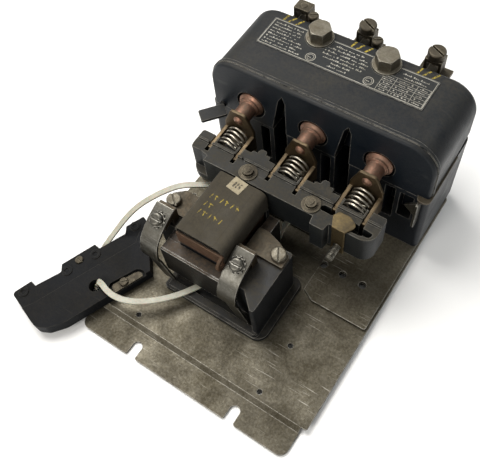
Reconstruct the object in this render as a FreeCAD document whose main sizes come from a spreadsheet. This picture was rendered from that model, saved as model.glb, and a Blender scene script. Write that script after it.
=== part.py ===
import FreeCAD, Part
import math
import os

from FreeCAD import Placement, Rotation, Vector

# Open three-pole magnetic motor starter, lying on its back plate.
# Millimetres, +Z up, +X across the plate, +Y toward the moulded contact block.
# The origin is on the underside of the plate, midway across it.

os.makedirs("parts", exist_ok=True)
doc = FreeCAD.newDocument("starter")
sheet = doc.addObject("Spreadsheet::Sheet", "sizes")
sheet.Label = "sizes"

SIZES = [
    # pressed steel back plate
    ("plate_width", 178), ("plate_front", -112), ("plate_back", 96), ("plate_thick", 2),
    ("plate_raise", 3.5), ("flange_edge", 134.7), ("flange_half", 87.6), ("flange_shift", -2.4),
    ("rear_half", 62),
    ("bend_run", 3.5), ("slot_width", 7.6), ("slot_pitch", 84.6), ("slot_setback", 8.3),
    ("slot_centre", -0.8),
    # second plate under the contact block
    ("sub_thick", 3.2), ("sub_front", -32.6), ("sub_left", 35.8), ("sub_step", 14), ("sub_back", 94),
    # moulded contact block
    ("block_left", -85.5), ("block_right", 88), ("block_front", 43), ("block_back", 106),
    ("parting_z", 72), ("hood_left", -82.5), ("hood_right", 87), ("hood_top", 118),
    ("hood_round", 21), ("hood_wall", 8), ("chamber_half", 14), ("chamber_low", 74),
    ("chamber_high", 101.5), ("chamber_back", 99), ("pole_pitch", 50), ("pole_z", 87),
    ("mouth_r", 11.4), ("bead_out", 0.8), ("bead_deep", 2.4), ("bolt_y", 94), ("bolt_hole_r", 4.9),
    ("bolt_r", 4.5), ("hex_across", 14.3), ("hex_high", 8), ("washer_r", 9.7), ("washer_thick", 1.5),
    ("name_wide", 123), ("name_front", 70.5), ("name_back", 96.4), ("name_thick", 0.6),
    # plungers, stirrups, springs and contacts
    ("tube_r", 6.4), ("tube_hole_r", 3.2), ("flare_r", 9.8), ("tube_back", 70), ("web_y", 27),
    ("web_thick", 2), ("stirrup_half", 12), ("shoulder_z", 80), ("stirrup_top", 94.2),
    ("leg_top", 75.5), ("leg_low", 62), ("leg_thick", 2.5), ("leg_front", 4.5), ("web_low", 58),
    ("spring_r", 8), ("spring_wire", 0.85), ("spring_turns", 5), ("spring_z", 72),
    ("bridge_half", 12), ("bridge_high", 10), ("bridge_thick", 3), ("tip_r", 3.4), ("tip_x", 8),
    ("tip_thick", 1.4), ("contact_gap", 4.55), ("stroke", 7), ("strip_wide", 5.4),
    ("strip_thick", 2.4), ("lug_z", 104), ("lug_high", 13.5), ("lug_y", 116.5),
    # crossbar
    ("bar_left", -72.5), ("bar_right", 72.5), ("bar_front", -7), ("bar_back", 15),
    ("bar_low", 51), ("bar_top", 76.5), ("rail_high", 1.8), ("rail_y", 6.4),
    ("rail_wide", 1.6), ("slot_depth", 14.3), ("recess_deep", 5), ("stud_r", 2),
    # magnet and coil
    ("coil_left", -42.5), ("coil_right", -4), ("coil_front", -60), ("coil_back", -9),
    ("coil_top", 77.5), ("coil_low", 22), ("coil_round", 5), ("cheek_thick", 3), ("wrap_low", 60),
    ("core_r", 9), ("core_z", 40), ("tube_wall", 1), ("run_gap", 0.05), ("rod_r", 2.5),
    ("yoke_left", -53.6), ("yoke_right", 2), ("yoke_front", -70), ("yoke_back", -60.3),
    ("yoke_low", 21), ("yoke_top", 51.5),
    # moulded magnet housing and the clips on it
    ("house_left", -75), ("house_right", 27.4), ("house_front", -76), ("house_back", -27),
    ("house_top", 52.5), ("foot_out", 5.4), ("foot_thick", 3.6), ("floor_thick", 3),
    ("lip_top", 14.5), ("core_plate_thick", 3.2), ("strap_wide", 14.6), ("strap_thick", 1.8),
    ("strap_right_x", 3.9), ("strap_left_x", -62),
    # loose moulded bar and its tie
    ("loose_long", 114), ("loose_wide", 48.3), ("loose_thick", 9), ("loose_step", 2.6),
    ("loose_ledge", 19.5), ("loose_x", -147.95), ("loose_y", -145.35), ("loose_z", 0.9),
    ("loose_yaw", -24.2), ("loose_tilt", -4.7), ("tie_wide", 4.4), ("tie_thick", 1.3),
]

for row, (name, value) in enumerate(SIZES, start=1):
    sheet.set("A%d" % row, name)
    sheet.set("B%d" % row, str(value))
    sheet.setAlias("B%d" % row, name)
doc.recompute()


def size(name):
    """A driving size, read back from the sheet."""
    return float(getattr(sheet, name))


# ---------------------------------------------------------------- helpers

def corner_arc(before, corner, after, radius):
    """The two tangent points and the arc that round one corner of a loop."""
    into = (before - corner).normalize()
    out = (after - corner).normalize()
    half = into.getAngle(out) / 2
    reach = radius / math.tan(half)
    start = corner + into * reach
    end = corner + out * reach
    centre = corner + (into + out).normalize() * (radius / math.sin(half))
    turn = (corner - before).cross(after - corner).z
    first = math.atan2(start.y - centre.y, start.x - centre.x)
    last = math.atan2(end.y - centre.y, end.x - centre.x)
    if turn < 0:
        first, last = last, first
    circle = Part.Circle(centre, Vector(0, 0, 1), radius)
    return start, end, Part.ArcOfCircle(circle, first, last)


def loop(points):
    """Lines and arcs of a closed loop; a point is (x, y) or (x, y, corner radius)."""
    corners = [Vector(p[0], p[1], 0) for p in points]
    radii = [p[2] if len(p) > 2 else 0 for p in points]
    count = len(points)
    starts, ends, pieces = [], [], []
    for i in range(count):
        before, after = corners[i - 1], corners[(i + 1) % count]
        if radii[i] > 0:
            start, end, arc = corner_arc(before, corners[i], after, radii[i])
            pieces.append(arc)
        else:
            start = end = corners[i]
        starts.append(start)
        ends.append(end)
    for i in range(count):
        here, there = ends[i], starts[(i + 1) % count]
        if here.distanceToPoint(there) > 1e-6:
            pieces.append(Part.LineSegment(here, there))
    return pieces


def ring(x, y, radius):
    """A full circle for a sketch."""
    return [Part.Circle(Vector(x, y, 0), Vector(0, 0, 1), radius)]


def rect(left, low, right, high, radius=0):
    """A rectangle loop, with rounded corners if a radius is given."""
    return loop([(left, low, radius), (right, low, radius), (right, high, radius), (left, high, radius)])


def slot(x, y, length, width):
    """A round-ended slot along the sketch's first axis."""
    half = length / 2
    radius = width / 2 - 0.01
    return loop([(x - half, y - width / 2, radius), (x + half, y - width / 2, radius),
                 (x + half, y + width / 2, radius), (x - half, y + width / 2, radius)])


def new_body(label):
    """An empty body named after its piece."""
    body = doc.addObject("PartDesign::Body", label)
    body.Label = label
    body.AllowCompound = True
    return body


def sketch_on(body, plane, height, loops):
    """A sketch on one of the body's own origin planes, moved out along its normal."""
    support = [f for f in body.Origin.OriginFeatures if f.Role == plane][0]
    sketch = body.newObject("Sketcher::SketchObject", body.Name + "_sketch")
    sketch.AttachmentSupport = [(support, "")]
    sketch.MapMode = "FlatFace"
    out = -height if plane == "XZ_Plane" else height
    sketch.AttachmentOffset = Placement(Vector(0, 0, out), Rotation())
    for pieces in loops:
        sketch.addGeometry(pieces, False)
    sketch.Visibility = False
    return sketch


def grow(body, plane, height, length, loops):
    """Pad away from the plane along +X, +Y or +Z; the length is a number or an expression."""
    pad = body.newObject("PartDesign::Pad", body.Name + "_pad")
    pad.Profile = sketch_on(body, plane, height, loops)
    pad.Reversed = plane == "XZ_Plane"
    set_length(pad, length)
    doc.recompute()
    body.Tip = pad
    return pad


def cut(body, plane, height, length, loops):
    """Pocket from the plane along +X, +Y or +Z."""
    before = body.Shape.Volume
    pocket = body.newObject("PartDesign::Pocket", body.Name + "_pocket")
    pocket.Profile = sketch_on(body, plane, height, loops)
    pocket.Reversed = plane != "XZ_Plane"
    set_length(pocket, length)
    doc.recompute()
    body.Tip = pocket
    if body.Shape.Volume > before - 0.01:
        raise ValueError("pocket removed nothing from " + body.Label)
    return pocket


def set_length(feature, length):
    """Give a pad or pocket its depth, as a number or as an expression of the sheet."""
    if isinstance(length, str):
        feature.setExpression("Length", length)
    else:
        feature.Length = length


def turn(body, plane, height, pieces, axis):
    """Revolve a half profile about one of the sketch's own axes."""
    sketch = sketch_on(body, plane, height, [pieces])
    spin = body.newObject("PartDesign::Revolution", body.Name + "_turn")
    spin.Profile = sketch
    spin.ReferenceAxis = (sketch, [axis])
    spin.Angle = 360
    doc.recompute()
    body.Tip = spin
    return spin


def soften(body, radius, chosen):
    """Round the edges of the body's tip that the test picks."""
    tip = body.Tip
    names = ["Edge%d" % (i + 1) for i, edge in enumerate(tip.Shape.Edges) if chosen(edge)]
    fillet = body.newObject("PartDesign::Fillet", body.Name + "_round")
    fillet.Base = (tip, names)
    fillet.Radius = radius
    doc.recompute()
    body.Tip = fillet
    return fillet


def at(obj, x=None, y=None, z=None):
    """Bind an object's position to expressions of the sheet."""
    for axis, value in (("x", x), ("y", y), ("z", z)):
        if value is not None:
            obj.setExpression("Placement.Base." + axis, value)


def feature(label, shape):
    """A free-form piece."""
    obj = doc.addObject("Part::Feature", label)
    obj.Label = label
    obj.Shape = shape
    return obj


def tube_z(x, y, low, high, radius):
    """An upright round bar."""
    return Part.makeCylinder(radius, high - low, Vector(x, y, low), Vector(0, 0, 1))


def slotted_head(radius, high, slot_wide, slot_deep, dome=0.0):
    """A screw head with its seat at the origin and its slot along X."""
    head = Part.makeCylinder(radius, high, Vector(0, 0, 0), Vector(0, 0, 1))
    edge = 0.18 * high + dome
    top = [e for e in head.Edges if abs(e.BoundBox.ZMin - high) < 1e-6 and e.BoundBox.ZLength < 1e-6]
    head = head.makeFillet(edge, top)
    groove = Part.makeBox(4 * radius, slot_wide, slot_deep + 1,
                          Vector(-2 * radius, -slot_wide / 2, high - slot_deep))
    return head.cut(groove)


def placed(shape, x, y, z, yaw=0.0, tilt_x=0.0):
    """A copy of a shape, turned about Z, tilted about X and moved."""
    copy = shape.copy()
    move = Placement(Vector(x, y, z), Rotation(Vector(1, 0, 0), tilt_x))
    copy.Placement = move.multiply(Placement(Vector(0, 0, 0), Rotation(Vector(0, 0, 1), yaw)))
    return copy


POLES = [-size("pole_pitch"), 0.0, size("pole_pitch")]
half_plate = size("plate_width") / 2
plate_top = size("plate_raise") + size("plate_thick")
sub_top = plate_top + size("sub_thick")

# ---------------------------------------------------------------- back plate

plate_front = size("plate_front")
plate_back = size("plate_back")
slot_r = size("slot_width") / 2
slot_xs = [size("slot_centre") + side * size("slot_pitch") / 2 for side in (-1, 1)]
front_span = [size("flange_shift") + side * size("flange_half") for side in (-1, 1)]
rear_span = [side * size("rear_half") for side in (-1, 1)]


def flange_outline(span, foot, sign):
    """Outline of a mounting flange with two open slots in its outer edge."""
    edge = sign * size("flange_edge")
    points = [(span[0], foot), (span[0], edge, 6.5)]
    for x in slot_xs:
        deep = edge - sign * (size("slot_setback") + slot_r)
        points += [(x - slot_r, edge, 1.5), (x - slot_r, deep, slot_r - 0.05),
                   (x + slot_r, deep, slot_r - 0.05), (x + slot_r, edge, 1.5)]
    points += [(span[1], edge, 6.5), (span[1], foot)]
    return points if sign < 0 else points[::-1]


base_plate = new_body("base_plate")
grow(base_plate, "XY_Plane", size("plate_raise"), "sizes.plate_thick",
     [rect(-half_plate, plate_front, half_plate, plate_back, 2)])
thick = size("plate_thick")
lift = size("plate_raise")
for bend, sign, span in ((plate_front, -1, front_span), (plate_back, 1, rear_span)):
    foot = bend + sign * size("bend_run")
    grow(base_plate, "XY_Plane", 0, "sizes.plate_thick", [loop(flange_outline(span, foot, sign))])
    slope = [(foot + sign * 0.8, 0), (foot + sign * 0.8, thick), (foot, thick), (bend, lift + thick),
             (bend - sign * 2.5, lift + thick), (bend - sign * 2.5, lift), (bend + sign * 0.3, lift),
             (foot, 0)]
    slope_left = max(span[0], -half_plate) + 0.4
    slope_right = min(span[1], half_plate) - 0.4
    grow(base_plate, "YZ_Plane", slope_left, slope_right - slope_left, [loop(slope)])

SMALL_HOLES = [(-56, -107), (49.2, -107), (49.7, -68.4), (-82, 10), (-82, -2.5)]
LARGE_HOLES = [(38.1, -3.4), (53.8, -3.4), (69.8, -3.4)]
cut(base_plate, "XY_Plane", 0, 20, [ring(x, y, 1.9) for x, y in SMALL_HOLES])
cut(base_plate, "XY_Plane", 0, 20, [ring(x, y, 2.8) for x, y in LARGE_HOLES])

sub_plate = new_body("sub_plate")
sub_left = size("sub_left")
sub_half = half_plate - 1.4
grow(sub_plate, "XY_Plane", plate_top, "sizes.sub_thick",
     [loop([(sub_left + 9, size("sub_front")), (sub_half, size("sub_front"), 1.5),
            (sub_half, size("sub_back"), 3), (-sub_half, size("sub_back"), 3),
            (-sub_half, size("sub_step"), 3), (sub_left, size("sub_step")),
            (sub_left, size("sub_front") + 5)])])
cut(sub_plate, "XY_Plane", plate_top - 1, 10, [ring(x, y, 2.8) for x, y in LARGE_HOLES])

# ---------------------------------------------------------------- contact block

block_front = size("block_front")
parting = size("parting_z")
pitch = size("pole_pitch")
bolt_xs = (-pitch / 2, pitch / 2)

block_left, block_right, block_back = size("block_left"), size("block_right"), size("block_back")
hood_left, hood_right, hood_top = size("hood_left"), size("hood_right"), size("hood_top")
pole_z = size("pole_z")
bolt_y = size("bolt_y")
load_z = 50

contact_base = new_body("contact_base")
grow(contact_base, "XY_Plane", sub_top, parting - sub_top,
     [loop([(block_left, block_front, 4), (block_right, block_front, 4),
            (block_right, block_back, 6), (block_left, block_back, 6)])])
# notches beside each pole and tall channels between the poles, open to the front
cut(contact_base, "XZ_Plane", block_front, 16,
    [rect(x + 7, 34, x + 14.5, 69.5, 0.8) for x in POLES])
cut(contact_base, "XZ_Plane", block_front, 26,
    [rect(x - 7, 30, x + 4, parting + 5, 0.8) for x in bolt_xs])
cut(contact_base, "XZ_Plane", block_front, 9, [rect(68, 41, 78, 68, 1)])
cut(contact_base, "XY_Plane", 30, 60, [ring(x, bolt_y, size("bolt_hole_r")) for x in bolt_xs])
cut(contact_base, "XZ_Plane", block_back - 8, 12, [ring(x + 8, load_z, 2.8) for x in POLES])


def hood_profile(grow_by):
    """The hood seen from the front: a box with large round shoulders."""
    top = hood_top + grow_by
    radius = size("hood_round") + grow_by
    return loop([(hood_left - grow_by - 0.6, parting), (hood_right + grow_by + 0.6, parting),
                 (hood_right + grow_by, top, radius), (hood_left - grow_by, top, radius)])


contact_hood = new_body("contact_hood")
grow(contact_hood, "XZ_Plane", block_front, block_back - block_front, [hood_profile(0)])
soften(contact_hood, 5, lambda e: e.BoundBox.YMin > block_back - 0.01 and e.BoundBox.ZMax > parting + 1)
soften(contact_hood, 2, lambda e: e.BoundBox.YMax < block_front + 0.01 and e.BoundBox.ZMax > parting + 1)
grow(contact_hood, "XZ_Plane", block_front + 3.4, "sizes.bead_deep", [hood_profile(size("bead_out"))])
cut(contact_hood, "XZ_Plane", block_front, size("hood_wall") + 1,
    [ring(x, pole_z, size("mouth_r")) for x in POLES])
cut(contact_hood, "XY_Plane", size("chamber_low") - 2, size("chamber_high") - size("chamber_low") + 2,
    [rect(x - size("chamber_half"), block_front + size("hood_wall"), x + size("chamber_half"),
          size("chamber_back"), 1.5) for x in POLES])
for x in bolt_xs:
    channel = [(x - 8, parting - 1), (x + 3.4, parting - 1), (x + 3.4, 104), (x + 1.2, 109.5), (x - 2, 104)]
    cut(contact_hood, "XZ_Plane", block_front, 13, [loop(channel)])
cut(contact_hood, "XZ_Plane", size("chamber_back") - 2, 12,
    [rect(x + s * size("tip_x") - 3, pole_z - 4, x + s * size("tip_x") + 3, pole_z + 4)
     for x in POLES for s in (-1, 1)])
cut(contact_hood, "XY_Plane", parting - 1, 60, [ring(x, bolt_y, size("bolt_hole_r")) for x in bolt_xs])
# the wedge gap that opens along the right side of the parting line
wedge = loop([(block_front + 26, parting - 1), (block_back + 1, parting - 1),
              (block_back + 1, parting + 9), (block_front + 30, parting)])
cut(contact_hood, "YZ_Plane", hood_right - 7.5, 12, [wedge])

side_plate = new_body("side_plate")
grow(side_plate, "XY_Plane", parting, 1.4,
     [loop([(80, block_front - 4, 3), (89.2, block_front - 4, 4.4), (88.8, 84), (80, 84)])])
side_plate.Placement = Placement(Vector(0, 0, 0.05), Rotation())
cut(contact_hood, "XY_Plane", parting - 1, 2.6, [rect(79.7, block_front - 1, 92, 84.4)])

name_half = size("name_wide") / 2
nameplate = new_body("nameplate")
grow(nameplate, "XY_Plane", hood_top, "sizes.name_thick",
     [rect(-name_half, size("name_front"), name_half, size("name_back"), 0.8)])
cut(nameplate, "XY_Plane", hood_top - 1, 5, [ring(x, bolt_y, size("washer_r") + 0.3) for x in bolt_xs])


def hex_bolt(x):
    """A bolt with a crowned hexagon head, standing in the block at one x."""
    seat = hood_top + size("washer_thick")
    corner = size("hex_across") / math.sqrt(3)
    angles = [math.radians(a) for a in range(12, 373, 60)]
    points = [Vector(x + corner * math.cos(a), bolt_y + corner * math.sin(a), seat) for a in angles]
    head = Part.Face(Part.makePolygon(points)).extrude(Vector(0, 0, size("hex_high")))
    crown_z = seat + size("hex_high") - 3.5
    crown = Part.makeCone(corner + 2.6, corner - 0.9, 3.5, Vector(x, bolt_y, crown_z))
    head = head.common(crown.fuse(tube_z(x, bolt_y, seat - 1, crown_z + 0.1, corner + 2)))
    return head.fuse(tube_z(x, bolt_y, 31, seat + 0.5, size("bolt_r")))


def plain_washer(x, y, low, thick, outer, inner):
    """A flat ring on a vertical axis."""
    return tube_z(x, y, low, low + thick, outer).cut(tube_z(x, y, low - 1, low + thick + 1, inner))


feature("hood_washers", Part.makeCompound(
    [plain_washer(x, bolt_y, hood_top, size("washer_thick"), size("washer_r"), size("bolt_hole_r"))
     for x in bolt_xs]))
feature("hood_bolts", Part.makeCompound([hex_bolt(x) for x in bolt_xs]))

# ---------------------------------------------------------------- poles

web_y = size("web_y")
web_back = web_y + size("web_thick")
spring_front = size("bar_back") - size("recess_deep")
bridge_back = size("tube_back") + size("bridge_thick")
tip_face = bridge_back + size("tip_thick")
tip_x = size("tip_x")


def plunger_half():
    """Half section of a tube with a turned collar, radius against length."""
    inner, outer, flare = size("tube_hole_r"), size("tube_r"), size("flare_r")
    return [(inner, web_back), (outer, web_back, 0.4), (outer, 39.4, 0.6), (outer + 1.5, 40, 0.6),
            (outer + 1.5, 41.3, 0.6), (flare - 0.8, 42.2, 0.6), (flare, 43.2, 0.5), (flare, 45, 0.6),
            (outer, 45.8), (outer, size("tube_back")), (inner, size("tube_back"))]


def bolt_half():
    """Half section of the bolt through a plunger: a domed head in front and a flat nut behind."""
    return [(0, web_y - 1.9), (1.6, web_y - 1.9, 0.6), (3.6, web_y - 0.5, 0.6), (3.6, web_y),
            (2.3, web_y), (2.3, bridge_back), (3.8, bridge_back), (3.8, bridge_back + 1.3, 0.5),
            (0, bridge_back + 1.3)]


for number, x in enumerate(POLES, start=1):
    place = "sizes.pole_pitch * %d" % (number - 2)

    plunger = new_body("plunger_%d" % number)
    turn(plunger, "XY_Plane", 0, loop(plunger_half()), "V_Axis")
    at(plunger, x=place, z="sizes.pole_z")

    stirrup = new_body("stirrup_%d" % number)
    half = size("stirrup_half")
    neck = size("tube_r") - 0.4
    web = [(-half, size("web_low"), 1), (half, size("web_low"), 1), (half, size("shoulder_z"), 1.2),
           (neck, size("stirrup_top"), 2.5), (-neck, size("stirrup_top"), 2.5),
           (-half, size("shoulder_z"), 1.2)]
    grow(stirrup, "XZ_Plane", web_y, "sizes.web_thick", [loop(web), ring(0, pole_z, 2.6)])
    for low in (-half, half - size("leg_thick")):
        grow(stirrup, "YZ_Plane", low, "sizes.leg_thick",
             [rect(size("leg_front"), size("leg_low"), web_y + 0.5, size("leg_top"), 0.6)])
    at(stirrup, x=place)

    through_bolt = new_body("through_bolt_%d" % number)
    turn(through_bolt, "XY_Plane", 0, loop(bolt_half()), "V_Axis")
    at(through_bolt, x=place, z="sizes.pole_z")

    wire = size("spring_wire")
    length = web_y - spring_front - 2 * wire - 0.1
    helix = Part.makeHelix(length / size("spring_turns"), length, size("spring_r"))
    section = Part.Circle(Vector(size("spring_r"), 0, 0), Vector(0, 1, 0), wire).toShape()
    spring = feature("contact_spring_%d" % number,
                     Part.Wire(helix).makePipeShell([Part.Wire([section])], True, True))
    turned = Rotation(Vector(1, 0, 0), -90).multiply(Rotation(Vector(0, 0, 1), 25))
    spring.Placement = Placement(Vector(x, spring_front + wire + 0.05, size("spring_z")), turned)

    bridge = new_body("bridge_contact_%d" % number)
    reach = size("bridge_half")
    tall = size("bridge_high") / 2
    grow(bridge, "XZ_Plane", size("tube_back"), "sizes.bridge_thick",
         [rect(-reach, -tall, reach, tall, 1.2), ring(0, 0, 2.6)])
    grow(bridge, "XZ_Plane", bridge_back, "sizes.tip_thick",
         [ring(side * tip_x, 0, size("tip_r")) for side in (-1, 1)])
    at(bridge, x=place, z="sizes.pole_z")

# fixed contacts pass back through the hood; the line side rises, the load side drops
fixed_y = tip_face + size("contact_gap")
outside = block_back + 0.1
lug_y, lug_z = size("lug_y"), size("lug_z")
strip_wide, strip_thick = size("strip_wide"), size("strip_thick")


def fixed_contact(x, rise_to):
    """Tip, strip through the rear wall and the part bent up or down outside it."""
    half = strip_wide / 2
    start = fixed_y + size("tip_thick")
    tip = Part.makeCylinder(size("tip_r"), size("tip_thick"), Vector(x, fixed_y, pole_z), Vector(0, 1, 0))
    pad = Part.makeBox(strip_wide, 3, 9, Vector(x - half, start, pole_z - 4.5))
    run = Part.makeBox(strip_wide, outside + strip_thick - start - 1, strip_thick,
                       Vector(x - half, start + 1, pole_z - strip_thick / 2))
    low = min(pole_z - strip_thick / 2, rise_to)
    high = max(pole_z + strip_thick / 2, rise_to)
    post = Part.makeBox(strip_wide, strip_thick, high - low, Vector(x - half, outside, low))
    return tip.fuse([pad, run, post])


line_contacts, load_contacts, lugs, line_screws, load_screws = [], [], [], [], []
for x in POLES:
    shelf = Part.makeBox(21.5, 17, strip_thick, Vector(x - tip_x - 2.7, outside, lug_z - strip_thick))
    line = fixed_contact(x - tip_x, lug_z).fuse(shelf)
    line_contacts.append(line.removeSplitter())

    foot = Part.makeBox(12, strip_thick, 12, Vector(x + tip_x - 6, outside, load_z - 6))
    bore = Part.makeCylinder(2.9, 10, Vector(x + tip_x, outside - 2, load_z), Vector(0, 1, 0))
    load_contacts.append(fixed_contact(x + tip_x, load_z).fuse(foot).cut(bore).removeSplitter())

    box = Part.makeBox(12, 9, size("lug_high"), Vector(x - 7, lug_y - 4.5, lug_z))
    box = box.cut(Part.makeBox(8, 20, size("lug_high") - 5, Vector(x - 5, lug_y - 10, lug_z + 2)))
    lugs.append(box.cut(tube_z(x - 1, lug_y, lug_z + 5, lug_z + 20, 2.7)))

    top = lug_z + size("lug_high")
    stem = tube_z(x - 1, lug_y, lug_z + 7.5, top + 0.2, 2.5)
    if x < 0:
        line_screws.append(stem)
    else:
        head = placed(slotted_head(6, 5.4, 1.5, 2, 0.3), x - 1, lug_y, top, -26)
        line_screws.append(head.fuse(stem))
    stem = Part.makeCylinder(2.5, 10.5, Vector(x + tip_x, outside - 7.9, load_z), Vector(0, 1, 0))
    cap = placed(slotted_head(4.6, 3, 1.2, 1.4), x + tip_x, outside + strip_thick, load_z, 0, -90)
    load_screws.append(cap.fuse(stem))
feature("line_contacts", Part.makeCompound(line_contacts))
feature("load_contacts", Part.makeCompound(load_contacts))
feature("line_lugs", Part.makeCompound(lugs))
feature("line_screws", Part.makeCompound(line_screws))
feature("load_screws", Part.makeCompound(load_screws))

# round nuts standing on the shelf beside the first two line lugs
side_posts = []
for x in POLES[:2]:
    knob = placed(slotted_head(3.9, 4, 1, 1, 0.6), x + 9, 112.2, 113, 30)
    side_posts.append(knob.fuse(tube_z(x + 9, 112.2, lug_z, 113.5, 2)))
feature("line_side_posts", Part.makeCompound(side_posts))

# bent tabs held in the front of the block
tab = Part.makeBox(10.5, 19.5, 2.2, Vector(-5, -11.5, 0))
tab = tab.makeFillet(1.4, [e for e in tab.Edges if e.BoundBox.ZLength > 2 and e.BoundBox.XLength < 0.1])
tab = placed(tab, -74.5, 31.5, parting + 3.5, -40)
tab_post = Part.makeCylinder(2.3, block_front + 4 - 34, Vector(-75.5, 34, parting + 1.6), Vector(0, 1, 0))
feature("left_tab", tab.fuse(tab_post).removeSplitter())
for block in (contact_hood, contact_base):
    cut(block, "XZ_Plane", block_front - 1, 5.2, [ring(-75.5, parting + 1.6, 2.6)])

right_tab = new_body("right_tab")
grow(right_tab, "YZ_Plane", 81.6, 1.8, [rect(36, 44, block_front, 71.5, 1.6)])
grow(right_tab, "XZ_Plane", block_front - 1.8, 1.8, [loop([(72.6, 58.5), (83, 49), (83, 68)])])

# ---------------------------------------------------------------- crossbar

bar_left, bar_right, bar_low = size("bar_left"), size("bar_right"), size("bar_low")
bar_front, bar_back, bar_top = size("bar_front"), size("bar_back"), size("bar_top")
rail_y = size("rail_y")

crossbar = new_body("crossbar")
grow(crossbar, "XY_Plane", bar_low, bar_top - bar_low,
     [loop([(bar_left, bar_front, 10), (30, bar_front), (31, bar_front - 6, 1), (41, bar_front - 6, 1),
            (42, bar_front), (bar_right, bar_front, 9), (bar_right, bar_back, 2), (bar_left, bar_back, 2)])])
grow(crossbar, "XY_Plane", bar_top, "sizes.rail_high",
     [rect(bar_left + 1, rail_y, -34, rail_y + size("rail_wide")),
      rect(-32, rail_y, bar_right - 0.5, rail_y + size("rail_wide"))])
for x in bolt_xs:
    grow(crossbar, "XY_Plane", 62, bar_top - 62,
         [loop([(x - 7, bar_back - 1), (x + 7, bar_back - 1), (x + 7, bar_back + 3, 1), (x + 3, bar_back + 3),
                (x + 3, bar_back + 6, 2.4), (x - 3, bar_back + 6, 2.4), (x - 3, bar_back + 2),
                (x - 7, bar_back + 2, 1)])])
# slots that guide the stirrup legs, and seats for the springs
legs = [x + s * (size("stirrup_half") - size("leg_thick") / 2) for x in POLES for s in (-1, 1)]
leg_gap = size("leg_thick") / 2 + 0.3
cut(crossbar, "XZ_Plane", bar_back - size("slot_depth"), size("slot_depth") + 1,
    [rect(x - leg_gap, size("leg_low") - 0.3, x + leg_gap, bar_top + 3) for x in legs])
cut(crossbar, "XZ_Plane", spring_front, 10,
    [ring(x, size("spring_z"), size("spring_r") + size("spring_wire") + 0.2) for x in POLES])
# pockets in the ends, the long slot, and the holes for the studs
cut(crossbar, "XY_Plane", bar_top - 9, 10,
    [loop([(54, bar_front + 2.2), (62, bar_front + 2.2, 4), (bar_right - 3, bar_front + 4, 3),
           (bar_right - 3, 0.6), (54, 2.4)])])
cut(crossbar, "XY_Plane", bar_top - 20, 21,
    [loop([(bar_left - 1, bar_front - 1), (bar_left + 15, bar_front - 1), (bar_left + 15, -2.6),
           (bar_left + 9, -1.2), (bar_left - 1, -1.2)])])
cut(crossbar, "XY_Plane", bar_top - 12, 13, [slot(36.5, 1.8, 10.5, 4.6)])
STUDS = [(-24.5, -0.3), (25, -0.3)]
cut(crossbar, "XY_Plane", bar_top - 14, 15, [ring(x, y, size("stud_r") + 0.3) for x, y in STUDS])

stud_hardware = []
for x, y in STUDS:
    stud_hardware.append(plain_washer(x, y, bar_top, 0.9, 6.6, size("stud_r") + 0.3))
    stud = tube_z(x, y, bar_top - 13, bar_top + 4.4, size("stud_r"))
    stud_hardware.append(stud.fuse(tube_z(x, y, bar_top + 0.9, bar_top + 3.6, 3.9)))
feature("stud_hardware", Part.makeCompound(stud_hardware))

brass_strip = new_body("brass_strip")
grow(brass_strip, "XY_Plane", bar_top, 1.2,
     [loop([(41.5, -0.4), (45, bar_front - 1.4), (54.2, bar_front - 1.4), (59, -0.6, 3), (52, 4), (44, 4)])])
grow(brass_strip, "XZ_Plane", bar_front - 1.4, 1.3, [rect(45, 49, 54.2, bar_top + 1.2, 0.6)])
cut(brass_strip, "XZ_Plane", bar_front - 3, 4, [ring(49.6, 56, 3.2)])

adjusting_screw = new_body("adjusting_screw")
thread = [(0, -20), (2.3, -20, 0.4)]
for step in range(9):
    crest_y = -18.6 + step * 1.25
    thread += [(2.9, crest_y), (2.35, crest_y + 0.62)]
thread += [(2.9, bar_front - 0.3), (2.9, bar_front), (0, bar_front)]
turn(adjusting_screw, "XY_Plane", 0, loop(thread), "V_Axis")
at(adjusting_screw, x="49.6", z="56")

# ---------------------------------------------------------------- magnet

left, right, top = size("coil_left"), size("coil_right"), size("coil_top")
coil_front, coil_back, coil_low = size("coil_front"), size("coil_back"), size("coil_low")
coil_mid = (left + right) / 2
core_z = size("core_z")
tube_out = size("core_r") + size("tube_wall")
cheek = size("cheek_thick")

coil = new_body("coil_winding")
grow(coil, "XZ_Plane", coil_front + cheek, coil_back - coil_front - 2 * cheek,
     [rect(left + 1.6, coil_low, right - 1.6, top - 1.6, size("coil_round")),
      ring(coil_mid, core_z, tube_out + 0.3)])

cheeks = new_body("coil_cheeks")
for y in (coil_front, coil_back - cheek):
    grow(cheeks, "XZ_Plane", y, "sizes.cheek_thick",
         [rect(left - 0.5, coil_low - 1, right + 0.5, top - 5, 3), ring(coil_mid, core_z, tube_out + 0.3)])
pocket_low = size("wrap_low") - 0.3
cut(cheeks, "XZ_Plane", coil_front - 1, coil_back - coil_front + 2,
    [loop([(left - 2, pocket_low), (left + 1.5, pocket_low), (left + 1.5, top), (left - 2, top)]),
     loop([(right - 1.5, pocket_low), (right + 2, pocket_low), (right + 2, top), (right - 1.5, top)])])

wrap = new_body("coil_wrap")
skin = 1.3
wrap_low = size("wrap_low")
grow(wrap, "XZ_Plane", coil_front - 0.3, coil_back - coil_front + 0.6,
     [loop([(left, wrap_low), (left + skin, wrap_low), (left + skin, top - skin, 2),
            (right - skin, top - skin, 4.2), (right - skin, wrap_low), (right, wrap_low),
            (right, top, 5.5), (left, top, 3.3)])])

guide_tube = new_body("coil_guide_tube")
grow(guide_tube, "XZ_Plane", coil_front, coil_back - coil_front,
     [ring(coil_mid, core_z, tube_out), ring(coil_mid, core_z, size("core_r"))])

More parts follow.
